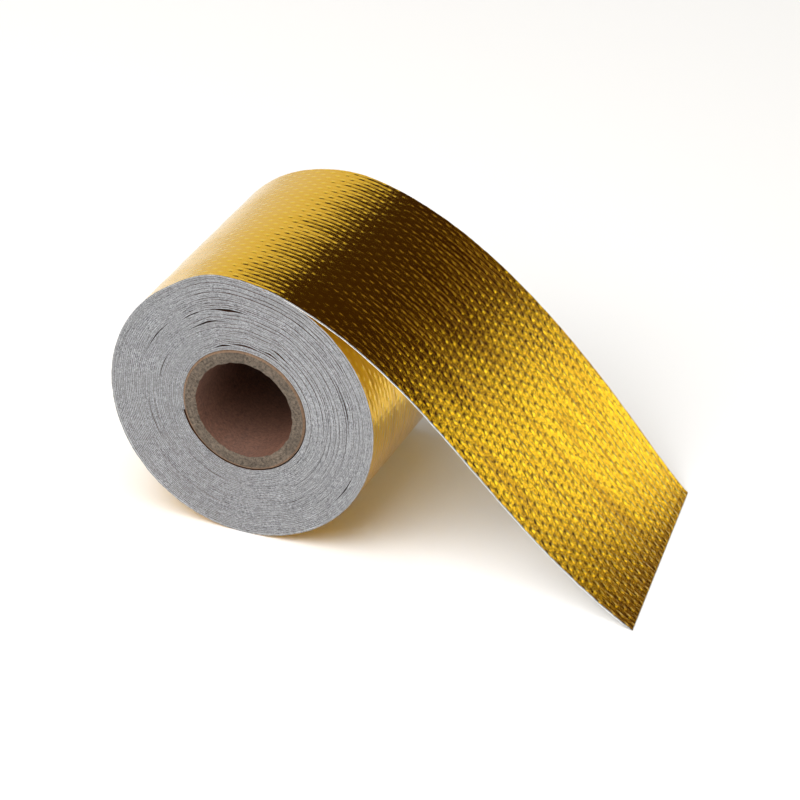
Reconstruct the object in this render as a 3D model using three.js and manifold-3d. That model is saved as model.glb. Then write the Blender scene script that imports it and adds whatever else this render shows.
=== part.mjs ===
// A small roll of gold foil-faced glass-cloth tape on a cardboard core.
// It lies on its side with its axis level, and its free tail runs down to the floor.
//
// Millimetres, +Z up. The roll's axis runs along Y and the tail points along +X.
// The origin is the middle of the bottom of the whole object's box.

import * as THREE from "three";
import { mergeVertices } from "three/addons/utils/BufferGeometryUtils.js";
import Module from "manifold-3d";

// Driving dimensions of the roll
const TAPE_WIDTH = 50;
const ROLL_DIAMETER = 55.4;
const CORE_BORE = 20.2;
const CORE_WALL = 2.65;
const CORE_CLEARANCE = 0.15;
const CORE_OFFSET = 0.55;
const CORE_CHAMFER = 0.3;

// One turn is the tape, its peel-off liner and the play on both sides of the liner
const TAPE_THICKNESS = 0.2;
const LINER_THICKNESS = 0.12;
const LAYER_PLAY = 0.03;

// The free tail. Each of its two edges leaves the roll at its own angle, in degrees from the
// tail's side of the axis, and runs to its own reach from the axis, where it lands on the
// floor at a slope in degrees. Pull and settle say how long it keeps the direction that it
// leaves with and lands with.
const NEAR_EDGE = { leaving: 69, reach: 80.7, landing: 29, pull: 31.4, settle: 35 };
const FAR_EDGE = { leaving: 78, reach: 74.2, landing: 35, pull: 33.9, settle: 11.4 };
const TAIL_VEER = 2.4;
const LINER_SETBACK = 0.4;
const LINER_SHORT = 1.5;

// Near the top of the roll the outer turn has sprung up at the near end, and dips at the far end
const NEAR_BULGE = 0.75;
const FAR_BULGE = -0.15;
const BULGE_ANGLE = 102;
const BULGE_HALF_SPAN = 22;

// Turn lines cut into both ends: each follows one full turn of the winding
const TURNS_PER_LINE = 7;
const TURN_LINE_WIDTH = 0.3;
const TURN_LINE_DEPTH = 0.5;
const TURN_LINE_SHARE = 0.97;

// Fineness of the faceted surfaces
const ROLL_STEPS = 120;
const TAIL_STEPS = 28;
const WIDTH_STEPS = 6;
const BORE_STEPS = 72;
const TURN_LINE_STEPS = 48;
const WELD = 1e-4;

const ROLL_RADIUS = ROLL_DIAMETER / 2;
const CORE_RADIUS = CORE_BORE / 2 + CORE_WALL;
const WOUND_BORE_RADIUS = CORE_RADIUS + CORE_CLEARANCE;
const TURN = TAPE_THICKNESS + LINER_THICKNESS + 2 * LAYER_PLAY;
const TURNS = (ROLL_RADIUS - WOUND_BORE_RADIUS) / TURN;

const foil = new THREE.MeshStandardMaterial({ color: 0xd9a520, roughness: 0.3, metalness: 1 });
const paper = new THREE.MeshStandardMaterial({ color: 0xf2f0ea, roughness: 0.8, metalness: 0 });
const cardboard = new THREE.MeshStandardMaterial({ color: 0x9c7452, roughness: 0.9, metalness: 0 });

const wasm = await Module();
wasm.setup();

const { degToRad: radians, lerp } = THREE.MathUtils;

// A value of the tail's two edges, mixed for a place between them. Across runs from 0 at the
// near end of the roll to 1 at its far end.
function mixedEdge(name, across) {
  return lerp(NEAR_EDGE[name], FAR_EDGE[name], across);
}

// Where a place of the outer turn is, in degrees. A quarter turn away from the tail, and
// further, its facets run level along the roll, although the tail leaves askew.
function outerDegrees(turned, across) {
  const level = Math.min(1, 4 * Math.min(turned, 1 - turned));
  return lerp(mixedEdge("leaving", across), mixedEdge("leaving", 0.5), level) + 360 * turned;
}

// A place on the outer turn: turned is the share of it back from where the tail leaves, and the
// radius shrinks by the thickness of one turn over it.
function woundPoint(turned, across) {
  const degrees = outerDegrees(turned, across);
  const away = Math.min(1, Math.abs(degrees - BULGE_ANGLE) / BULGE_HALF_SPAN);
  const bulge = lerp(NEAR_BULGE, FAR_BULGE, across) * Math.cos(away * Math.PI / 2) ** 2;
  const radius = ROLL_RADIUS - TURN * turned + bulge;
  const angle = radians(degrees);
  return new THREE.Vector2(radius * Math.cos(angle), radius * Math.sin(angle));
}

// The outer turn, from under the tail round the bottom and over the top.
function outerTurn(across) {
  return Array.from({ length: ROLL_STEPS }, (_, step) => woundPoint(1 - step / ROLL_STEPS, across));
}

const FLOOR = Math.min(...[...outerTurn(0), ...outerTurn(1)].map((point) => point.y));

// One line along the foil side of the tail, seen from the end of the roll.
function tailLine(across) {
  const leaving = radians(mixedEdge("leaving", across));
  const landing = radians(mixedEdge("landing", across));
  const start = woundPoint(0, across);
  const end = new THREE.Vector2(
    mixedEdge("reach", across),
    FLOOR + TAPE_THICKNESS * Math.cos(landing),
  );
  const away = new THREE.Vector2(Math.sin(leaving), -Math.cos(leaving));
  const back = new THREE.Vector2(-Math.cos(landing), Math.sin(landing));
  return new THREE.CubicBezierCurve(
    start,
    away.multiplyScalar(mixedEdge("pull", across)).add(start),
    back.multiplyScalar(mixedEdge("settle", across)).add(end),
    end,
  );
}

// One row of places across the thin tail, from the roll to its end at a depth below its foil side.
function tailRow(across, depth, shares) {
  const line = tailLine(across);
  return shares.map((along) => {
    const point = line.getPoint(along);
    const heading = line.getTangent(along);
    return new THREE.Vector3(
      point.x + heading.y * depth,
      across * TAPE_WIDTH - TAIL_VEER * along ** 2,
      point.y - heading.x * depth,
    );
  });
}

const TAIL_SHARES = Array.from({ length: TAIL_STEPS + 1 }, (_, step) => step / TAIL_STEPS);

// Whether a ring of two tail rows has turned round at the tail's end and runs back.
const runsBack = (index) => index > TAIL_STEPS && index <= 2 * TAIL_STEPS;

// The walls between each ring of points and the next. Where a ring runs back towards the
// roll its diagonal turns round, so the two sides of a thin sheet fold along the same lines.
function wallTriangles(rings, turnsRound = () => false) {
  const triangles = [];
  for (let row = 1; row < rings.length; row += 1) {
    const near = rings[row - 1];
    const far = rings[row];
    near.forEach((point, index) => {
      const next = (index + 1) % near.length;
      if (turnsRound(index)) {
        triangles.push(point, near[next], far[index], near[next], far[next], far[index]);
      } else {
        triangles.push(point, near[next], far[next], point, far[next], far[index]);
      }
    });
  }
  return triangles;
}

// A flat end with its hole, which faces the viewer of the near end (1) or the far end (-1).
function capTriangles(ring, hole, facing) {
  const flat = (point) => new THREE.Vector2(point.x, point.z);
  const points = [...ring, ...hole];
  const holes = hole.length > 0 ? [hole.map(flat)] : [];
  const faces = THREE.ShapeUtils.triangulateShape(ring.map(flat), holes);
  return faces.flatMap((face) => {
    const [a, b, c] = face.map((index) => points[index]);
    const turn = (b.x - a.x) * (c.z - a.z) - (b.z - a.z) * (c.x - a.x);
    return turn * facing > 0 ? [a, b, c] : [a, c, b];
  });
}

// A closed solid ruled from its near end to its far end, with a hole through it. Seen from
// the near end, its own rings run clockwise and the hole's run counter-clockwise.
function ruledSolid(rings, holeRings = []) {
  return new THREE.BufferGeometry().setFromPoints([
    ...wallTriangles(rings, runsBack),
    ...wallTriangles(holeRings),
    ...capTriangles(rings[0], holeRings[0] ?? [], 1),
    ...capTriangles(rings.at(-1), holeRings.at(-1) ?? [], -1),
  ]);
}

function toManifold(geometry) {
  const bare = geometry.clone();
  bare.deleteAttribute("normal");
  bare.deleteAttribute("uv");
  const merged = mergeVertices(bare, WELD);
  const vertProperties = new Float32Array(merged.getAttribute("position").array);
  const triVerts = new Uint32Array(merged.index.array);
  return new wasm.Manifold(new wasm.Mesh({ numProp: 3, vertProperties, triVerts }));
}

function toGeometry(solid) {
  const { vertProperties, triVerts } = solid.getMesh();
  const geometry = new THREE.BufferGeometry();
  geometry.setAttribute("position", new THREE.BufferAttribute(vertProperties, 3));
  geometry.setIndex(new THREE.BufferAttribute(triVerts, 1));
  geometry.computeVertexNormals();
  return geometry;
}

// The edge of one buried turn, as it shows on the near end (0) or the far end (1).
class TurnLine extends THREE.Curve {
  constructor(firstTurn, end) {
    super();
    this.firstTurn = firstTurn;
    this.end = end;
  }

  getPoint(share, target = new THREE.Vector3()) {
    const turned = this.firstTurn + share * TURN_LINE_SHARE;
    const angle = radians(mixedEdge("leaving", this.end) + 360 * turned);
    const radius = ROLL_RADIUS - TURN * turned;
    const x = radius * Math.cos(angle) + CORE_OFFSET * turned / TURNS;
    return target.set(x, this.end * TAPE_WIDTH, radius * Math.sin(angle));
  }
}

function turnGroove(firstTurn, end) {
  const section = new THREE.Shape([
    new THREE.Vector2(-TURN_LINE_DEPTH, 0),
    new THREE.Vector2(0, -TURN_LINE_WIDTH / 2),
    new THREE.Vector2(TURN_LINE_DEPTH, 0),
    new THREE.Vector2(0, TURN_LINE_WIDTH / 2),
  ]);
  const extrudePath = new TurnLine(firstTurn, end);
  return new THREE.ExtrudeGeometry(section, { steps: TURN_LINE_STEPS, bevelEnabled: false, extrudePath });
}

// The hole for the core, counter-clockwise as seen from the near end.
function boreRing(y) {
  return Array.from({ length: BORE_STEPS }, (_, step) => {
    const angle = 2 * Math.PI * step / BORE_STEPS;
    const x = CORE_OFFSET + WOUND_BORE_RADIUS * Math.cos(angle);
    return new THREE.Vector3(x, y, WOUND_BORE_RADIUS * Math.sin(angle));
  });
}

// The wound tape is one solid: every turn, the free tail, and the hole for the core.
function foilTape() {
  const rings = [];
  for (let row = 0; row <= WIDTH_STEPS; row += 1) {
    const across = row / WIDTH_STEPS;
    const foilSide = tailRow(across, 0, TAIL_SHARES);
    const underside = tailRow(across, TAPE_THICKNESS, TAIL_SHARES).reverse();
    const wound = outerTurn(across).map(
      (point) => new THREE.Vector3(point.x, across * TAPE_WIDTH, point.y),
    );
    rings.push([...foilSide, ...underside, ...wound]);
  }
  let solid = toManifold(ruledSolid(rings, [boreRing(0), boreRing(TAPE_WIDTH)]));
  for (let turn = Math.floor(TURNS_PER_LINE / 2); turn + 2 < TURNS; turn += TURNS_PER_LINE) {
    for (const end of [0, 1]) {
      solid = solid.subtract(toManifold(turnGroove(turn, end)));
    }
  }
  return new THREE.Mesh(toGeometry(solid), foil);
}

// The peel-off paper under the free tail, from the roll to just short of the tape's end.
function releaseLiner() {
  const tailLength = tailLine(0).getLength();
  const first = LINER_SETBACK / tailLength;
  const last = 1 - LINER_SHORT / tailLength;
  const shares = TAIL_SHARES.map((share) => Math.min(last, Math.max(first, share)));
  const top = TAPE_THICKNESS + LAYER_PLAY;
  const rings = [];
  for (let row = 0; row <= WIDTH_STEPS; row += 1) {
    const tapeSide = tailRow(row / WIDTH_STEPS, top, shares);
    const floorSide = tailRow(row / WIDTH_STEPS, top + LINER_THICKNESS, shares).reverse();
    rings.push([...tapeSide, ...floorSide]);
  }
  return new THREE.Mesh(ruledSolid(rings), paper);
}

// The core is a cardboard tube, turned about the roll's axis.
function cardboardCore() {
  const outside = CORE_RADIUS;
  const inside = CORE_BORE / 2;
  const profile = [
    new THREE.Vector2(inside, CORE_CHAMFER),
    new THREE.Vector2(inside + CORE_CHAMFER, 0),
    new THREE.Vector2(outside - CORE_CHAMFER, 0),
    new THREE.Vector2(outside, CORE_CHAMFER),
    new THREE.Vector2(outside, TAPE_WIDTH - CORE_CHAMFER),
    new THREE.Vector2(outside - CORE_CHAMFER, TAPE_WIDTH),
    new THREE.Vector2(inside + CORE_CHAMFER, TAPE_WIDTH),
    new THREE.Vector2(inside, TAPE_WIDTH - CORE_CHAMFER),
    new THREE.Vector2(inside, CORE_CHAMFER),
  ];
  const tube = new THREE.Mesh(new THREE.LatheGeometry(profile, BORE_STEPS), cardboard);
  tube.position.x = CORE_OFFSET;
  return tube;
}

const pieces = new THREE.Group();
const named = { foil_tape: foilTape(), release_liner: releaseLiner(), cardboard_core: cardboardCore() };
for (const [name, mesh] of Object.entries(named)) {
  mesh.name = name;
  pieces.add(mesh);
}

// Stand the object on its origin.
const box = new THREE.Box3().setFromObject(pieces);
const middle = box.getCenter(new THREE.Vector3());
pieces.position.set(-middle.x, -middle.y, -box.min.z);

const object = new THREE.Group();
object.add(pieces);
export default object;
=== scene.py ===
# %% [markdown]
# # A roll of gold foil tape
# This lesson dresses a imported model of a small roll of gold, foil-faced glass-cloth tape. The
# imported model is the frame: it says where the roll, its core and its free tail are. Each step
# below makes one real piece or one real finish, and says how and why.

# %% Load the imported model
import functools
import math
import random

import bmesh
import bpy
import numpy as np
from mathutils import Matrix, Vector, noise


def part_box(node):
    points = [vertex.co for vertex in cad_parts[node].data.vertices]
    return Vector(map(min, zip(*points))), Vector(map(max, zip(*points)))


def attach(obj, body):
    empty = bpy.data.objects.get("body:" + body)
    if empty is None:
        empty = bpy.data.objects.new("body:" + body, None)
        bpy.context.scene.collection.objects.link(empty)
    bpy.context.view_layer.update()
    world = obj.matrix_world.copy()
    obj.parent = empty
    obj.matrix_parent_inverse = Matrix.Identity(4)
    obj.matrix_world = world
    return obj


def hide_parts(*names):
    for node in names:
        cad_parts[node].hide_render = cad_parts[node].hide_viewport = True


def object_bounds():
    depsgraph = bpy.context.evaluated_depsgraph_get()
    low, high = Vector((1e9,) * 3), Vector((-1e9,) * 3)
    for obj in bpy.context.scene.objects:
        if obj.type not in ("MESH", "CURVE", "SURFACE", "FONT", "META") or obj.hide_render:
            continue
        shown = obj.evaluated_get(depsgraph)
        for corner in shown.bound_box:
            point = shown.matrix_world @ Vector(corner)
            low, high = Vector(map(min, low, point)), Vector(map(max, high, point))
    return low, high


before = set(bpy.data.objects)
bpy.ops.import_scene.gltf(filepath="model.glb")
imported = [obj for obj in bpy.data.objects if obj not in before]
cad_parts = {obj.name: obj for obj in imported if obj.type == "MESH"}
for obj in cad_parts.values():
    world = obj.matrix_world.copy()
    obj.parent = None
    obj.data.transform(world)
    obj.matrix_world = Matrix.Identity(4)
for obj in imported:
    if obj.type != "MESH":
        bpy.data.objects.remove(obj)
cad_low, cad_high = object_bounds()
print("frame nodes:", sorted(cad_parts))

# %% [markdown]
# ## Sizes
# The core's box gives the roll's axis and width, so nothing here is fitted by eye. The rest are
# the driving dimensions of the real roll, in metres: what one turn is made of, and the two
# curves that the long edges of the tail follow down to the floor.

# %% Sizes of the roll
MM = 0.001
core_low, core_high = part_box("cardboard_core")
CORE_RADIUS = (core_high.x - core_low.x) / 2
CORE_BORE_RADIUS = 10.1 * MM
CORE_OFFSET = 0.55 * MM
TAPE_WIDTH = core_high.y - core_low.y
NEAR_END = core_low.y
AXIS_X = (core_low.x + core_high.x) / 2 - CORE_OFFSET
AXIS_Z = (core_low.z + core_high.z) / 2
ROLL_RADIUS = 27.7 * MM
TAPE_THICKNESS = 0.2 * MM
LINER_THICKNESS = 0.12 * MM
LAYER_PLAY = 0.03 * MM
TURN = TAPE_THICKNESS + LINER_THICKNESS + 2 * LAYER_PLAY
TURNS = (ROLL_RADIUS - CORE_RADIUS - TURN) / TURN
print(f"axis at {AXIS_X:.5f}, {AXIS_Z:.5f}, tape {TAPE_WIDTH:.4f} m wide")
print(f"{TURNS:.1f} turns of {TURN / MM:.2f} mm")

# %% Sizes of the free tail
# Leaving and landing are angles in degrees, and the rest are lengths. Pull and settle say how far
# the curve keeps to those two directions.
NEAR_EDGE = {
    "leaving": 69, "reach": 80.7 * MM, "landing": 29, "pull": 31.4 * MM, "settle": 35 * MM,
}
FAR_EDGE = {
    "leaving": 78, "reach": 74.2 * MM, "landing": 35, "pull": 33.9 * MM, "settle": 11.4 * MM,
}
TAIL_VEER = 2.4 * MM
# The outer turns stand off the roll a little where the tail starts, up to these heights.
NEAR_BULGE = 0.75 * MM
FAR_BULGE = -0.15 * MM
BULGE_ANGLE = 102
BULGE_HALF_SPAN = 22
BULGE_TURNS = 18


def edge_value(name, across):
    """A value of the tail's two edges, mixed for a place between them."""
    return NEAR_EDGE[name] * (1 - across) + FAR_EDGE[name] * across

# %% [markdown]
# ## Where a point of the tape goes
# The tape is drawn flat and then wound. A place on it has a distance along it, a share across
# it and a depth below its foil side. Two small functions turn that into a place in the room:
# one for the turns on the roll and one for the free tail. Where a few turns have come apart,
# the ones outside the gap are pushed outwards, as on the real roll's end.

# %% Places where the turns have come apart
# Each gap: the turn that it lies under, its middle and half span in degrees, its width.
GAPS = (
    (17.4, 97, 14, 0.42 * MM), (17.4, 118, 7, 0.25 * MM), (24.0, 111, 16, 0.36 * MM),
    (15.6, 145, 16, 0.22 * MM), (37.0, 106, 12, 0.40 * MM), (36.0, 88, 12, 0.34 * MM),
    (34.5, 66, 9, 0.28 * MM), (31.0, 60, 10, 0.22 * MM), (14.6, 15, 20, 0.26 * MM),
    (7.2, 36, 6, 0.18 * MM), (8.6, 58, 7, 0.16 * MM), (9.2, 47, 7, 0.16 * MM),
    (7.4, -31, 12, 0.20 * MM), (26.0, 160, 14, 0.16 * MM), (20.0, 200, 18, 0.16 * MM),
    (28.0, 250, 16, 0.15 * MM), (12.0, 232, 12, 0.14 * MM), (18.0, 300, 14, 0.14 * MM),
)
FIXED_TURNS = 1.5
GAP_RAG = 0.5
GAP_RAG_PER_DEGREE = 0.35


def hump(value, middle, half_span):
    """1 in the middle, falling smoothly to 0 at half a span away."""
    away = min(1.0, abs(value - middle) / half_span)
    return math.cos(away * math.pi / 2) ** 2


def angle_between(a, b):
    """How far apart two directions are, in degrees, whatever the number of full turns."""
    return abs((a - b + 180) % 360 - 180)


def gap_push(turned, degrees):
    """How far outwards the gaps below this place have pushed it."""
    push = 0.0
    for under_turn, middle, half_span, width in GAPS:
        if turned < under_turn:
            share = max(0.0, (turned - FIXED_TURNS) / (under_turn - FIXED_TURNS))
            rag_place = Vector((degrees * GAP_RAG_PER_DEGREE, under_turn, 0))
            ragged = 1 + GAP_RAG * noise.noise(rag_place)
            push += width * ragged * share * hump(angle_between(degrees, middle), 0, half_span)
    return push


def wound_place(turned, y, depth):
    """A point of the roll, so many turns back from where the tail leaves."""
    across = min(1.0, max(0.0, (y - NEAR_END) / TAPE_WIDTH))
    degrees = edge_value("leaving", across) + 360 * turned
    angle = math.radians(degrees)
    bulge = NEAR_BULGE * (1 - across) + FAR_BULGE * across
    bulge *= hump(angle_between(degrees, BULGE_ANGLE), 0, BULGE_HALF_SPAN)
    bulge *= 1 if turned < 0.5 else max(0.0, 1 - turned / BULGE_TURNS)
    radius = ROLL_RADIUS - TURN * turned + bulge + gap_push(turned, degrees) - depth
    middle_x = AXIS_X + CORE_OFFSET * turned / TURNS
    return Vector((middle_x + radius * math.cos(angle), y, AXIS_Z + radius * math.sin(angle)))


lowest = min(wound_place(degree / 360, 0, 0).z for degree in range(360))
print("the roll's lowest point:", round(lowest, 6))

# %% The lines of the tail
FLOOR = cad_low.z


@functools.cache
def tail_line(across):
    """The four control points of one line along the tail, on its foil side."""
    leaving = math.radians(edge_value("leaving", across))
    slope = math.radians(edge_value("landing", across))
    start_x = AXIS_X + ROLL_RADIUS * math.cos(leaving)
    start = Vector((start_x, AXIS_Z + ROLL_RADIUS * math.sin(leaving)))
    end_x = AXIS_X + edge_value("reach", across)
    end = Vector((end_x, FLOOR + TAPE_THICKNESS * math.cos(slope)))
    away = Vector((math.sin(leaving), -math.cos(leaving))) * edge_value("pull", across)
    back = Vector((-math.cos(slope), math.sin(slope))) * edge_value("settle", across)
    return start, start + away, end + back, end


def on_curve(points, t):
    """The place and the heading on a cubic curve at t, from 0 to 1."""
    a, b, c, d = points
    s = 1 - t
    place = a * s ** 3 + b * 3 * s * s * t + c * 3 * s * t * t + d * t ** 3
    heading = (b - a) * s * s + (c - b) * 2 * s * t + (d - c) * t * t
    return place, heading.normalized()


def tail_place(t, across, depth):
    """A point of the free tail: t along it and across it from 0 to 1."""
    place, heading = on_curve(tail_line(across), t)
    y = NEAR_END + across * TAPE_WIDTH - TAIL_VEER * t * t
    return Vector((place.x + heading.y * depth, y, place.y - heading.x * depth))


for across in (0, 1):
    print("a corner of the tail's end:", [round(value, 5) for value in tail_place(1, across, 0)])

# %% [markdown]
# ## The tape as a flat strip, then wound
# A strip that is modelled flat is easy to give a thickness, an edge and a pattern, because
# every direction is still plain: up is the foil side, down is the adhesive, and sideways is the
# cut edge. So each strip starts as a flat grid, is extruded to its thickness, gets its faces
# sorted by where they point, and only then is every point sent to its place on the roll.

# %% A flat strip of one thickness
FOIL_SIDE, UNDERSIDE, CUT_EDGE, WOUND_EDGE = 0, 1, 2, 3


def flat_strip(steps_along, steps_across):
    """A closed slab from 0 to 1 along and across, and from 0 down to -1 in depth."""
    bm = bmesh.new()
    bmesh.ops.create_grid(bm, x_segments=steps_along, y_segments=steps_across, size=0.5)
    bmesh.ops.translate(bm, verts=bm.verts, vec=(0.5, 0.5, 0))
    grown = bmesh.ops.extrude_face_region(bm, geom=bm.faces[:] + bm.edges[:], use_keep_orig=True)
    lower = [v for v in grown["geom"] if isinstance(v, bmesh.types.BMVert)]
    bmesh.ops.translate(bm, verts=lower, vec=(0, 0, -1))
    walls = [e for e in bm.edges if abs(e.verts[0].co.z - e.verts[1].co.z) > 0.5]
    bmesh.ops.subdivide_edges(bm, edges=walls, cuts=1)
    bmesh.ops.recalc_face_normals(bm, faces=bm.faces)
    for face in bm.faces:
        face.material_index = CUT_EDGE if abs(face.normal.z) < 0.5 else int(face.normal.z < 0)
        face.smooth = True
    for edge in bm.edges:
        edge.smooth = len({face.material_index for face in edge.link_faces}) == 1
    return bm


def finish_mesh(name, bm, materials):
    """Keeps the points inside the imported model's box and makes an object at the origin."""
    for vert in bm.verts:
        limits = zip(cad_low, vert.co, cad_high)
        vert.co = [max(low, min(high, value)) for low, value, high in limits]
    mesh = bpy.data.meshes.new(name)
    bm.to_mesh(mesh)
    bm.free()
    for material in materials:
        mesh.materials.append(material)
    piece = bpy.data.objects.new(name, mesh)
    bpy.context.collection.objects.link(piece)
    print(f"{name}: {len(mesh.polygons)} faces")
    return piece


# %% Winding a strip
# The cut edge's raggedness, its slow drift round the roll, the rounding of its middle, and how
# far back a turn's edge stands at most. The two rates are in waves per metre of tape.
FRAY, FRAY_RATE = 0.06 * MM, 900
DRIFT, DRIFT_RATE = 0.10 * MM, 55
EDGE_ROUND = 0.035 * MM
MOST_SET_BACK = -0.15
rng = random.Random(7)
turn_shift = [
    [rng.uniform(MOST_SET_BACK, 0.0) * MM for _ in range(int(TURNS) + 4)] for _ in range(2)
]


def edge_shift(turned, far_end):
    """How far a turn's edge stands back from the end of the roll, drifting from turn to turn."""
    whole = max(0, min(int(TURNS) + 2, int(turned)))
    part = min(1.0, max(0.0, turned - whole))
    shifts = turn_shift[far_end]
    return shifts[whole] * (1 - part) + shifts[whole + 1] * part


def fray(place_along, far_end):
    """The ragged line of the cut glass threads."""
    ragged = noise.noise(Vector((place_along * FRAY_RATE, 3.7 if far_end else 9.1, 0.4)))
    slow = noise.noise(Vector((place_along * DRIFT_RATE, 6.2 if far_end else 1.3, 0.8)))
    return FRAY * ragged + DRIFT * (slow - 0.5)


def across_place(share, height, turned, along, set_back=0.0):
    """Across the roll. A cut edge is rounded and ragged, and stands back as its turn does."""
    y = NEAR_END + share * TAPE_WIDTH
    if 0 < share < 1:
        return y
    far_end = share == 1
    outwards = 1 if far_end else -1
    rounding = EDGE_ROUND if -1 < height < 0 else 0
    out = edge_shift(turned, far_end) - set_back + rounding + fray(along, far_end)
    return y + outwards * out


# About the length of one buried turn, in metres, for the raggedness along it.
BURIED_TURN_LENGTH = 0.13


def wound_strip(name, layer_top, thickness, set_back, steps_per_turn, materials):
    """All the buried turns of one layer, from the core out to under the last turn."""
    steps = int((TURNS - 1) * steps_per_turn)
    bm = flat_strip(steps, 1)
    for vert in bm.verts:
        turned = TURNS - vert.co.x * (TURNS - 1)
        depth = layer_top - vert.co.z * thickness
        along = turned * BURIED_TURN_LENGTH
        y = across_place(round(vert.co.y), vert.co.z, turned, along, set_back)
        vert.co = wound_place(turned, y, depth)
    return finish_mesh(name, bm, materials)


# %% [markdown]
# ## Shared patterns
# Three effects are used by several finishes, so each is one node group: the weave that shows
# through the foil, the crinkle of the foil itself, and fibre in paper, board and cloth. They read
# the piece's own map, which is in metres along and across the tape, or the object's own space.

# %% Small helpers for node trees
def new_group(name, inputs, outputs):
    """An empty shader group with number inputs and its outputs."""
    group = bpy.data.node_groups.new(name, "ShaderNodeTree")
    for label, value in inputs.items():
        socket = group.interface.new_socket(label, in_out="INPUT", socket_type="NodeSocketFloat")
        socket.default_value = value
    for label in outputs:
        group.interface.new_socket(label, in_out="OUTPUT", socket_type="NodeSocketFloat")
    given = group.nodes.new("NodeGroupInput").outputs
    result = group.nodes.new("NodeGroupOutput").inputs
    return group, given, result


def put(tree, socket, value):
    """Links a socket's source, or writes a plain value into it."""
    if isinstance(value, bpy.types.NodeSocket):
        tree.links.new(value, socket)
    else:
        socket.default_value = value


def calc(tree, operation, first, second=None, third=None):
    """One Math node."""
    node = tree.nodes.new("ShaderNodeMath")
    node.operation = operation
    for socket, value in zip(node.inputs, (first, second, third)):
        if value is not None:
            put(tree, socket, value)
    return node.outputs[0]


def noise_of(tree, vector, scale, detail=3.0, roughness=0.55, distortion=0.0):
    """One Noise Texture, its value between 0 and 1."""
    node = tree.nodes.new("ShaderNodeTexNoise")
    node.inputs["Detail"].default_value = detail
    node.inputs["Roughness"].default_value = roughness
    node.inputs["Distortion"].default_value = distortion
    put(tree, node.inputs["Vector"], vector)
    put(tree, node.inputs["Scale"], scale)
    return node.outputs[0]


def scaled(tree, vector, factors):
    """The coordinates, each multiplied by its own factor."""
    node = tree.nodes.new("ShaderNodeVectorMath")
    node.operation = "MULTIPLY"
    tree.links.new(vector, node.inputs[0])
    node.inputs[1].default_value = factors
    return node.outputs[0]


def spread(tree, value, low, high, to_low=0.0, to_high=1.0):
    """Map Range with its ends held."""
    node = tree.nodes.new("ShaderNodeMapRange")
    put(tree, node.inputs["Value"], value)
    node.inputs["From Min"].default_value = low
    node.inputs["From Max"].default_value = high
    node.inputs["To Min"].default_value = to_low
    node.inputs["To Max"].default_value = to_high
    return node.outputs[0]


def mixed(tree, share, first, second):
    """Mixes two colours."""
    node = tree.nodes.new("ShaderNodeMix")
    node.data_type = "RGBA"
    colour_a, colour_b, colour_out = node.inputs[6], node.inputs[7], node.outputs[2]
    put(tree, node.inputs[0], share)
    put(tree, colour_a, first)
    put(tree, colour_b, second)
    return colour_out


def group_in(tree, group, values=()):
    """Places a group in a tree with its own values and returns its outputs."""
    node = tree.nodes.new("ShaderNodeGroup")
    node.node_tree = group
    for label, value in dict(values).items():
        put(tree, node.inputs[label], value)
    return node.outputs


def new_material(name, roughness, metallic=0.0):
    """A material with a plain Principled BSDF."""
    material = bpy.data.materials.new(name)
    material.use_nodes = True
    shader = material.node_tree.nodes["Principled BSDF"]
    shader.inputs["Roughness"].default_value = roughness
    shader.inputs["Metallic"].default_value = metallic
    return material, material.node_tree, shader


def bump(tree, shader, height, strength, distance):
    """Feeds a height to the shader's normal. Distance is how tall a height of 1 is, in metres."""
    node = tree.nodes.new("ShaderNodeBump")
    node.inputs["Strength"].default_value = strength
    node.inputs["Distance"].default_value = distance
    tree.links.new(height, node.inputs["Height"])
    tree.links.new(node.outputs["Normal"], shader.inputs["Normal"])


# %% The weave under the foil
WARP_PITCH = 1.23 * MM
WEFT_PITCH = 1.61 * MM
WEFT_SKEW = math.tan(math.radians(0.8))
WANDER_ALONG, WANDER_ACROSS = 0.9 * MM, 0.5 * MM
# How much of the relief is a thread's own ridge, and how much is where a warp thread comes up.
RIDGE_SHARE, CROWN_SHARE = 0.3, 0.78


def weave_group():
    """Plain weave: warp threads run along the tape, weft threads across it a little askew."""
    tree, given, result = new_group(
        "woven_relief", {"Warp pitch": WARP_PITCH, "Weft pitch": WEFT_PITCH}, ("Height", "Crown highlight")
    )
    uv = tree.nodes.new("ShaderNodeUVMap")
    uv.uv_map = "along_tape"
    wander = noise_of(tree, scaled(tree, uv.outputs[0], (90, 160, 1)), 1.0, 2.0)
    split = tree.nodes.new("ShaderNodeSeparateXYZ")
    tree.links.new(uv.outputs[0], split.inputs[0])
    drift = calc(tree, "MULTIPLY_ADD", wander, WANDER_ALONG, split.outputs[0])
    along = calc(tree, "MULTIPLY_ADD", split.outputs[1], WEFT_SKEW, drift)
    across = calc(tree, "MULTIPLY_ADD", wander, WANDER_ACROSS, split.outputs[1])
    weft_count = calc(tree, "DIVIDE", along, given["Weft pitch"])
    weft = calc(tree, "SINE", calc(tree, "MULTIPLY", weft_count, math.pi))
    warp_count = calc(tree, "DIVIDE", across, given["Warp pitch"])
    warp = calc(tree, "SINE", calc(tree, "MULTIPLY", warp_count, math.pi))
    crossing = calc(tree, "MULTIPLY", weft, warp)
    thread = calc(tree, "POWER", calc(tree, "ABSOLUTE", warp), 0.8)
    warp_over = calc(tree, "POWER", calc(tree, "MAXIMUM", crossing, 0.0), 1.4)
    crowns = calc(tree, "MULTIPLY", warp_over, CROWN_SHARE)
    put(tree, result["Height"], calc(tree, "MULTIPLY_ADD", thread, RIDGE_SHARE, crowns))
    # This mask marks where a warp thread comes up, for a painted highlight on the foil.
    put(tree, result["Crown highlight"], spread(tree, crossing, 0.35, 0.95))
    return tree


weave = weave_group()

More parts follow.
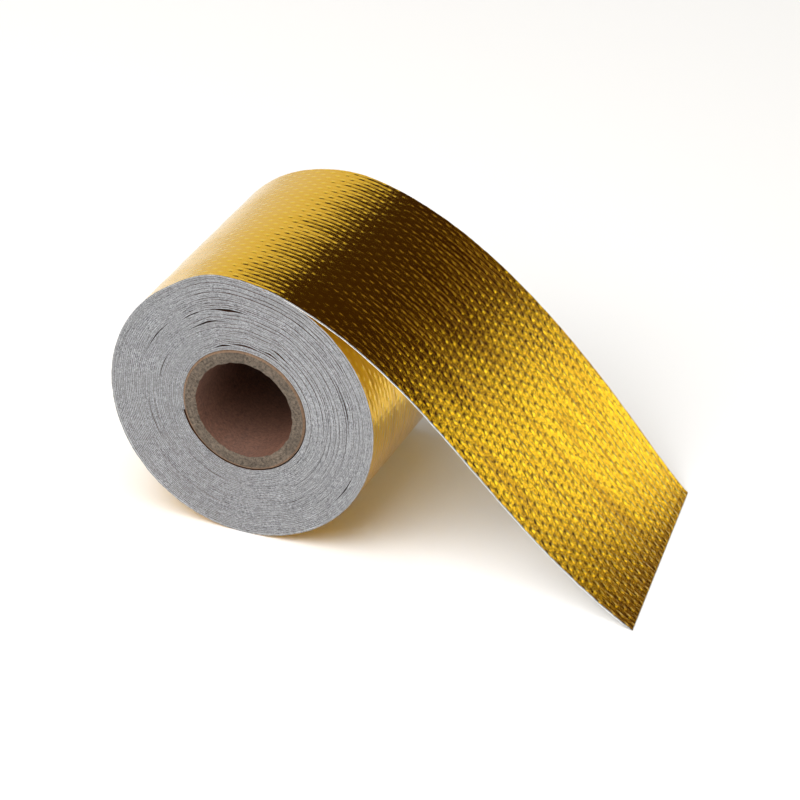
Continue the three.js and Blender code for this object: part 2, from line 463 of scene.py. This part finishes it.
# %% The crinkle of the foil
# Waves per metre along and across the tape.
FINE_CREASES = (1000, 2300, 1)
BROAD_CREASES = (45, 560, 1)
# The foil is smooth on the roll and creased from handling on the tail, and changes between these.
SMOOTH_UP_TO, CREASED_FROM, LEAST_HANDLED = -20 * MM, 12 * MM, 0.25


def crinkle_group():
    """Fine creases in the film and broader streaks, both drawn out along the tape; a furrow mask for
    painted shade.
    """
    tree, given, result = new_group(
        "foil_crinkle", {"Fine": 1.0, "Broad": 1.0}, ("Height", "Streaks", "Handled")
    )
    uv = tree.nodes.new("ShaderNodeUVMap")
    uv.uv_map = "along_tape"
    fine = noise_of(tree, scaled(tree, uv.outputs[0], FINE_CREASES), 1.0, 3.0, 0.65)
    broad = noise_of(tree, scaled(tree, uv.outputs[0], BROAD_CREASES), 1.0, 3.0, 0.6)
    fine_part = calc(tree, "MULTIPLY", fine, given["Fine"])
    creases = calc(tree, "MULTIPLY_ADD", broad, given["Broad"], fine_part)
    split = tree.nodes.new("ShaderNodeSeparateXYZ")
    tree.links.new(tree.nodes.new("ShaderNodeTexCoord").outputs["Object"], split.inputs[0])
    handled = spread(tree, split.outputs[0], SMOOTH_UP_TO, CREASED_FROM, LEAST_HANDLED, 1.0)
    furrow = calc(tree, "SUBTRACT", 1.0, spread(tree, broad, 0.38, 0.62))
    put(tree, result["Height"], calc(tree, "MULTIPLY", creases, handled))
    # 1 away from the broad furrows, lower in them on the handled tail: where brown shade is painted.
    shade_streaks = calc(tree, "SUBTRACT", 1.0, calc(tree, "MULTIPLY", furrow, handled))
    put(tree, result["Streaks"], shade_streaks)
    put(tree, result["Handled"], handled)
    return tree


crinkle = crinkle_group()

# %% Fibres in paper, board and cut cloth
def fibre_group():
    """Short fibres and specks in the object's own space, the same size on every piece."""
    tree, given, result = new_group("fibres", {"Fineness": 1.0}, ("Fibre", "Speck", "Cloud"))
    place = tree.nodes.new("ShaderNodeTexCoord").outputs["Object"]
    fineness = given["Fineness"]
    fibre = noise_of(tree, scaled(tree, place, (2600, 2600, 2600)), fineness, 4.0, 0.7, 0.6)
    speck = noise_of(tree, scaled(tree, place, (3900, 3900, 3900)), fineness, 1.0)
    cloud = noise_of(tree, scaled(tree, place, (260, 260, 260)), fineness, 3.0)
    for label, value in (("Fibre", fibre), ("Speck", speck), ("Cloud", cloud)):
        put(tree, result[label], value)
    return tree


fibres = fibre_group()
print("pattern groups:", [g.name for g in (weave, crinkle, fibres)])

# %% [markdown]
# ## Finishes
# The foil is a gold-lacquered aluminium film: a metal with a deep colour, with a painted highlight
# of yellower gold where a thread comes up and painted shade of brown in the streaks that handling
# leaves. The cut glass cloth is grey and fibrous, the liner is white paper, and the core is brown
# kraft board with a grey chipboard middle.
# Colours are linear, and every relief is a share of a millimetre.

# %% Gold foil
GOLD = (0.89, 0.52, 0.008, 1)
# A yellower, brighter gold for the thread crowns: a painted highlight.
CROWN_HIGHLIGHT_GOLD = (0.98, 0.65, 0.018, 1)
# Brown painted along the crease furrows as shade.
STREAK_SHADE_BROWN = (0.48, 0.22, 0.004, 1)
CREASE_SHARE = 0.9
ROLL_RELIEF_SHARE = 0.4


def gold_foil():
    """A polished film over the weave, with a thin lacquer coat."""
    material, tree, shader = new_material("gold_foil", 0.2, 1.0)
    height, crown_highlight = group_in(tree, weave)
    creases, shade_streaks, handled = group_in(tree, crinkle, {"Fine": 1.2, "Broad": 2.4})
    # Painted highlight: yellower gold where a thread comes up.
    gold = mixed(tree, crown_highlight, GOLD, CROWN_HIGHLIGHT_GOLD)
    # Painted shade: brown along the furrows of the broad creases on the handled tail.
    gold = mixed(tree, spread(tree, shade_streaks, 0.0, 0.7, 0.6, 0.0), gold, STREAK_SHADE_BROWN)
    tree.links.new(gold, shader.inputs["Base Color"])
    tree.links.new(spread(tree, shade_streaks, 0, 1, 0.08, 0.16), shader.inputs["Roughness"])
    shader.inputs["Coat Weight"].default_value = 0.2
    shader.inputs["Coat Roughness"].default_value = 0.25
    relief = calc(tree, "MULTIPLY_ADD", creases, CREASE_SHARE, height)
    raised = calc(tree, "MULTIPLY_ADD", handled, 1 - ROLL_RELIEF_SHARE, ROLL_RELIEF_SHARE)
    relief = calc(tree, "MULTIPLY", relief, raised)
    bump(tree, shader, relief, 1.0, 0.088 * MM)
    return material


def painted_shade_between_turns():
    """Painted shade: a dull dark brown for every face between the turns, where next to no light
    comes.
    """
    material, tree, shader = new_material("painted_shade_between_turns", 0.5, 0.6)
    # This dark brown is painted shade, not the colour of foil, adhesive or paper.
    shader.inputs["Base Color"].default_value = (0.10, 0.035, 0.012, 1)
    return material


# %% Cut glass cloth, adhesive side, liner paper
def cut_cloth():
    """The cut ends of glass threads: grey, fibrous, with dark specks."""
    material, tree, shader = new_material("cut_glass_cloth", 0.75)
    fibre, speck, cloud = group_in(tree, fibres)
    threads = spread(tree, fibre, 0.35, 0.68)
    grey = mixed(tree, threads, (0.10, 0.105, 0.115, 1), (0.50, 0.51, 0.53, 1))
    grey = mixed(tree, spread(tree, cloud, 0.4, 0.7, 0.0, 0.35), grey, (0.46, 0.46, 0.45, 1))
    grey = mixed(tree, spread(tree, speck, 0.68, 0.78, 0.0, 0.7), grey, (0.03, 0.03, 0.035, 1))
    tree.links.new(grey, shader.inputs["Base Color"])
    bump(tree, shader, fibre, 0.9, 0.12 * MM)
    return material


def adhesive_side():
    """The sticky side of the cloth, smooth and off-white."""
    material, tree, shader = new_material("adhesive_side", 0.35)
    pattern = group_in(tree, fibres)
    patches = spread(tree, pattern["Cloud"], 0.3, 0.7)
    pale = mixed(tree, patches, (0.46, 0.45, 0.42, 1), (0.62, 0.61, 0.57, 1))
    tree.links.new(pale, shader.inputs["Base Color"])
    bump(tree, shader, pattern["Fibre"], 0.4, 0.03 * MM)
    return material


def grey_shaded_paper_cut():
    """The paper's edge among the turns, painted grey as the shade there."""
    material, tree, shader = new_material("grey_shaded_paper_cut", 0.8)
    pattern = group_in(tree, fibres)
    threads = spread(tree, pattern["Fibre"], 0.3, 0.7)
    # The white paper's edge is painted grey here, as shade among the turns.
    grey = mixed(tree, threads, (0.28, 0.28, 0.29, 1), (0.66, 0.67, 0.68, 1))
    shade = spread(tree, pattern["Cloud"], 0.4, 0.65)
    grey = mixed(tree, shade, grey, (0.34, 0.35, 0.36, 1))
    tree.links.new(grey, shader.inputs["Base Color"])
    bump(tree, shader, pattern["Fibre"], 0.6, 0.08 * MM)
    return material


def liner_paper():
    """The white release paper that covers the adhesive."""
    material, tree, shader = new_material("liner_paper", 0.55)
    pattern = group_in(tree, fibres, {"Fineness": 0.6})
    threads = spread(tree, pattern["Fibre"], 0.3, 0.7)
    white = mixed(tree, threads, (0.80, 0.80, 0.78, 1), (0.92, 0.92, 0.90, 1))
    tree.links.new(white, shader.inputs["Base Color"])
    bump(tree, shader, pattern["Fibre"], 0.25, 0.02 * MM)
    return material


# %% Kraft board
def kraft_board(name, dark, light, rough, relief):
    """Brown board between two tones, with dark specks."""
    material, tree, shader = new_material(name, rough)
    fibre, speck, cloud = group_in(tree, fibres, {"Fineness": 0.7})
    brown = mixed(tree, spread(tree, fibre, 0.32, 0.70), dark, light)
    brown = mixed(tree, spread(tree, speck, 0.66, 0.76, 0.0, 0.5), brown, (0.03, 0.02, 0.012, 1))
    brown = mixed(tree, spread(tree, cloud, 0.35, 0.75, 0.0, 0.35), brown, dark)
    tree.links.new(brown, shader.inputs["Base Color"])
    bump(tree, shader, fibre, 0.7, relief)
    return material


foil = gold_foil()
cloth = cut_cloth()
adhesive = adhesive_side()
paper = liner_paper()
liner_edge_shade = grey_shaded_paper_cut()
slit_shade = painted_shade_between_turns()
board_skin = kraft_board(
    "kraft_skin", (0.12, 0.068, 0.038, 1), (0.29, 0.175, 0.10, 1), 0.7, 0.05 * MM
)
# The bore's kraft is a darker copy of the skin's kraft: painted shade inside the tube.
board_bore_shaded = kraft_board(
    "kraft_bore_painted_shade", (0.07, 0.028, 0.016, 1), (0.17, 0.072, 0.04, 1), 0.75, 0.05 * MM
)
board_end = kraft_board(
    "chipboard_end", (0.045, 0.034, 0.024, 1), (0.24, 0.185, 0.135, 1), 0.9, 0.15 * MM
)
print("finishes:", len(bpy.data.materials))

# %% [markdown]
# ## The buried turns
# Every turn between the core and the last one is really there, so the ends of the roll show one
# cut edge of cloth and one of paper for each turn, and the slits where turns came apart are real
# openings. The faces inside the roll are painted dark brown as shade.

# %% Wind the buried tape and liner
LINER_TOP = TAPE_THICKNESS + LAYER_PLAY
LINER_SET_BACK = 0.04 * MM
TAPE_STEPS_PER_TURN, LINER_STEPS_PER_TURN = 96, 72
# The faces of the buried turns, tape and liner alike, are painted dark brown as shade.
buried_tape = wound_strip(
    "buried_tape_turns", 0.0, TAPE_THICKNESS, 0.0, TAPE_STEPS_PER_TURN,
    (slit_shade, slit_shade, cloth),
)
# The liner's cut edges among the turns take the grey painted shade.
buried_liner = wound_strip(
    "buried_liner_turns", LINER_TOP, LINER_THICKNESS, LINER_SET_BACK, LINER_STEPS_PER_TURN,
    (slit_shade, slit_shade, liner_edge_shade),
)

# %% [markdown]
# ## The last turn and the free tail
# The last turn and the tail are one strip, the only foil that shows, so it gets a fine grid and a
# map in real metres that the weave follows round the roll and down the tail. A slow waviness in
# the surface breaks the reflections into streaks, as tension in the real tape does.

# %% Lengths along the last turn and the tail
SHOWN_TURNS = 1.03
TAIL_SAMPLES = 200
roll_length = 2 * math.pi * ROLL_RADIUS * SHOWN_TURNS
sample_t = np.linspace(0, 1, TAIL_SAMPLES + 1)


def lengths_along(across):
    """The distance from where the tail leaves to each sample, along one line of the tape."""
    places = np.array([tail_place(t, across, 0) for t in sample_t])
    return np.concatenate(([0], np.cumsum(np.linalg.norm(np.diff(places, axis=0), axis=1))))


near_lengths, far_lengths = lengths_along(0), lengths_along(1)
tail_length = (near_lengths[-1] + far_lengths[-1]) / 2
print(f"tail {near_lengths[-1]:.4f} m along its near edge, {far_lengths[-1]:.4f} m along the far one")


def strip_place(share):
    """For a share of the strip: turns back from where the tail leaves, and share of the tail."""
    distance = share * (roll_length + tail_length)
    if distance < roll_length:
        return (roll_length - distance) / roll_length * SHOWN_TURNS, 0.0
    return 0.0, min(1.0, (distance - roll_length) / tail_length)


def map_place(share, across):
    """Metres along and across the tape, for the pattern."""
    turned, t = strip_place(share)
    if turned > 0:
        return -turned * roll_length / SHOWN_TURNS, across * TAPE_WIDTH
    near = np.interp(t, sample_t, near_lengths)
    far = np.interp(t, sample_t, far_lengths)
    return near * (1 - across) + far * across, across * TAPE_WIDTH


# %% Wind the last turn and lay out the tail
WAVE_HEIGHT = 0.10 * MM
SHOWN_FRAY_SCALE = 8
LINER_SHORT = 1.5 * MM


def surface_wave(along, across, turned, t):
    """A slow waviness, drawn out along the tape, calm on the roll and at the tail's end."""
    ridges = noise.noise(Vector((along * 28, across * 170, 2.0)))
    ridges += 0.5 * noise.noise(Vector((along * 70, across * 420, 8.0)))
    calm = 0.25 if turned > 0.2 else 0.6
    if turned == 0:
        calm = 0.6 + 0.4 * min(1, t * 4)
        calm *= min(1, (1 - t) * 6)
    return WAVE_HEIGHT * ridges * calm


def shown_strip(name, layer_top, thickness, steps_along, steps_across, end_share, materials):
    """The last turn and the tail up to a share of it, in one strip, with a map in metres."""
    bm = flat_strip(steps_along, steps_across)
    uv = bm.loops.layers.uv.new("along_tape")
    for face in bm.faces:
        for loop in face.loops:
            flat = loop.vert.co
            loop[uv].uv = map_place(end_share * flat.x, flat.y)
    for face in bm.faces:
        share = end_share * face.calc_center_median().x
        if face.material_index == CUT_EDGE and strip_place(share)[0] > 0:
            face.material_index = WOUND_EDGE
    for vert in bm.verts:
        share = end_share * vert.co.x
        across, height = vert.co.y, vert.co.z
        turned, t = strip_place(share)
        along, sideways = map_place(share, across)
        depth = layer_top - height * thickness - surface_wave(along, sideways, turned, t)
        at_edge = min(across, 1 - across) < 1e-6
        edge_share = round(across) if at_edge else across
        y = across_place(edge_share, height, turned, along * SHOWN_FRAY_SCALE)
        if turned > 0:
            vert.co = wound_place(turned, y, depth)
        else:
            place = tail_place(t, across, depth)
            place.y += y - NEAR_END - across * TAPE_WIDTH
            vert.co = place
    return finish_mesh(name, bm, materials)


last_turn = shown_strip(
    "last_turn_and_tail", 0.0, TAPE_THICKNESS, 420, 60, 1.0, (foil, adhesive, cloth, cloth)
)
liner_end = 1 - LINER_SHORT / (roll_length + tail_length)
last_liner = shown_strip(
    "last_turn_liner", LINER_TOP, LINER_THICKNESS, 240, 12, liner_end,
    (paper, paper, paper, liner_edge_shade),
)
for piece in (buried_tape, last_turn):
    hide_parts("foil_tape")
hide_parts("release_liner")
for piece in (buried_tape, buried_liner, last_turn, last_liner):
    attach(piece, "root")

# %% [markdown]
# ## The cardboard core
# A core is a spiral-wound tube: brown skins inside and outside, grey chipboard between; the inside
# skin is painted darker, as shade in the bore. Its wall is drawn once as a section, with a step at
# each ply on the cut ends, and spun round the axis.
# The saw leaves the inner rim a little ragged.

# %% Spin the core
CORE_PLIES = 7
PLY_STEP = 0.05 * MM
SKIN_STEP = 0.12 * MM
RIM_RAG = 0.22 * MM
RIM_DEPTH = 0.6 * MM
END_DEPTH = 0.3 * MM
CORE_STEPS = 160
CORE_WALL = CORE_RADIUS - CORE_BORE_RADIUS
core_middle = Vector((AXIS_X + CORE_OFFSET, 0, AXIS_Z))


def core_section():
    """The wall's outline at one angle: out over the near end, along, and in over the far end."""
    near_rim, far_rim = [], []
    for ply in range(CORE_PLIES + 1):
        radius = CORE_BORE_RADIUS + CORE_WALL * ply / CORE_PLIES
        step = PLY_STEP * (ply % 2) + (SKIN_STEP if ply in (0, CORE_PLIES) else 0)
        near_rim.append((radius, core_low.y + step))
        far_rim.append((radius, core_high.y - step))
    return near_rim + far_rim[::-1]


def spun_core():
    """The section spun round the core's axis, its faces sorted into skin, bore and cut end."""
    bm = bmesh.new()
    section = core_section()
    verts = [bm.verts.new((core_middle.x + radius, y, core_middle.z)) for radius, y in section]
    edges = [bm.edges.new((verts[i], verts[(i + 1) % len(verts)])) for i in range(len(verts))]
    bmesh.ops.spin(
        bm, geom=verts + edges, cent=core_middle, axis=(0, 1, 0), angle=math.tau,
        steps=CORE_STEPS, use_merge=True, use_duplicate=False,
    )
    bmesh.ops.remove_doubles(bm, verts=bm.verts, dist=1e-6)
    bmesh.ops.recalc_face_normals(bm, faces=bm.faces)
    for face in bm.faces:
        away = face.calc_center_median() - core_middle
        radius = math.hypot(away.x, away.z)
        on_end = abs(face.normal.y) > 0.5
        outside = radius > (CORE_RADIUS + CORE_BORE_RADIUS) / 2
        skin = radius > CORE_RADIUS - CORE_WALL / CORE_PLIES
        face.material_index = (0 if skin else 2) if on_end else (0 if outside else 1)
        face.smooth = not on_end
    for vert in bm.verts:
        away = vert.co - core_middle
        radius = math.hypot(away.x, away.z)
        inwards = max(0.0, 1 - (radius - CORE_BORE_RADIUS) / RIM_DEPTH)
        at_end = min(abs(vert.co.y - core_low.y), abs(vert.co.y - core_high.y)) < END_DEPTH
        if at_end:
            rag = noise.noise(away * 900) * RIM_RAG
            vert.co.x += away.x / radius * rag * inwards
            vert.co.z += away.z / radius * rag * inwards
    return finish_mesh("spiral_wound_core", bm, (board_skin, board_bore_shaded, board_end))


core = spun_core()
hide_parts("cardboard_core")
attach(core, "root")

# %% [markdown]
# ## Floor, light and camera
# The foil is a mirror with a texture, so the lights are placed for what it reflects: two soft
# boxes behind the roll, left and right, with only a dim brown glow between them, which makes the
# dark band where the tail starts. A large soft light from the front shows the cut end.

# %% Floor
FLOOR_SIZE = 6.0
FLOOR_DROP = 0.02 * MM


def pale_floor():
    """A wide pale sheet just under the roll."""
    bm = bmesh.new()
    bmesh.ops.create_grid(bm, x_segments=1, y_segments=1, size=FLOOR_SIZE / 2)
    bmesh.ops.translate(bm, verts=bm.verts, vec=(0, 0, cad_low.z - FLOOR_DROP))
    material, tree, shader = new_material("pale_floor", 0.6)
    shader.inputs["Base Color"].default_value = (0.9, 0.9, 0.9, 1)
    mesh = bpy.data.meshes.new("floor")
    bm.to_mesh(mesh)
    bm.free()
    mesh.materials.append(material)
    floor = bpy.data.objects.new("floor", mesh)
    bpy.context.collection.objects.link(floor)


pale_floor()

# %% Lights
def soft_light(name, azimuth, elevation, distance, width, height, power, colour=(1, 1, 1)):
    """A rectangle of light that faces the roll. Azimuth 0 is behind it and 90 to its right."""
    data = bpy.data.lights.new(name, "AREA")
    data.shape = "RECTANGLE"
    data.size, data.size_y = width, height
    data.energy = power
    data.color = colour
    light = bpy.data.objects.new(name, data)
    turn, rise = math.radians(azimuth), math.radians(elevation)
    target = Vector((0, 0, AXIS_Z))
    sideways, backwards = math.sin(turn) * math.cos(rise), math.cos(turn) * math.cos(rise)
    light.location = target + Vector((sideways, backwards, math.sin(rise))) * distance
    light.rotation_euler = (target - light.location).to_track_quat("-Z", "Y").to_euler()
    bpy.context.collection.objects.link(light)


soft_light("back_right_light", 48, 13.5, 1.6, 0.95, 0.75, 4.6, (0.95, 1.0, 0.75))
soft_light("back_left_light", -38, 18, 1.6, 1.8, 1.15, 4.9, (1.0, 0.99, 0.9))
soft_light("back_middle_light", 14, 11, 1.7, 0.95, 0.75, 0.6, (1, 0.8, 0.6))
soft_light("front_light", 200, 55, 1.2, 1.2, 1.2, 23)
soft_light("top_light", 0, 88, 1.5, 1.0, 1.0, 5)
world = bpy.data.worlds.new("studio")
bpy.context.scene.world = world
world.use_nodes = True
background = world.node_tree.nodes["Background"]
background.inputs["Color"].default_value = (1, 0.5, 0.2, 1)
background.inputs["Strength"].default_value = 0.042
bpy.context.scene.view_settings.view_transform = "Standard"

# %% Camera
CAMERA_AZIMUTH = math.radians(23.25)
CAMERA_ELEVATION = math.radians(30.37)
CAMERA_DISTANCE = 663.7 * MM
LOOK_RIGHT, LOOK_UP = 30.2 * MM, 1.9 * MM
LENS, SENSOR = 157.5, 36.0


def photo_camera():
    """Looks a little right of the middle of the roll's near end, from the right and above."""
    forward = Vector((
        -math.sin(CAMERA_AZIMUTH) * math.cos(CAMERA_ELEVATION),
        math.cos(CAMERA_AZIMUTH) * math.cos(CAMERA_ELEVATION),
        -math.sin(CAMERA_ELEVATION),
    ))
    right = Vector((math.cos(CAMERA_AZIMUTH), math.sin(CAMERA_AZIMUTH), 0))
    up = right.cross(forward)
    target = Vector((AXIS_X, NEAR_END, AXIS_Z)) + right * LOOK_RIGHT + up * LOOK_UP
    data = bpy.data.cameras.new("photo_camera")
    data.lens, data.sensor_width = LENS, SENSOR
    data.clip_start, data.clip_end = 0.05, 20
    camera = bpy.data.objects.new("photo_camera", data)
    camera.location = target - forward * CAMERA_DISTANCE
    camera.rotation_euler = forward.to_track_quat("-Z", "Y").to_euler()
    bpy.context.collection.objects.link(camera)
    return camera


bpy.context.scene.camera = photo_camera()
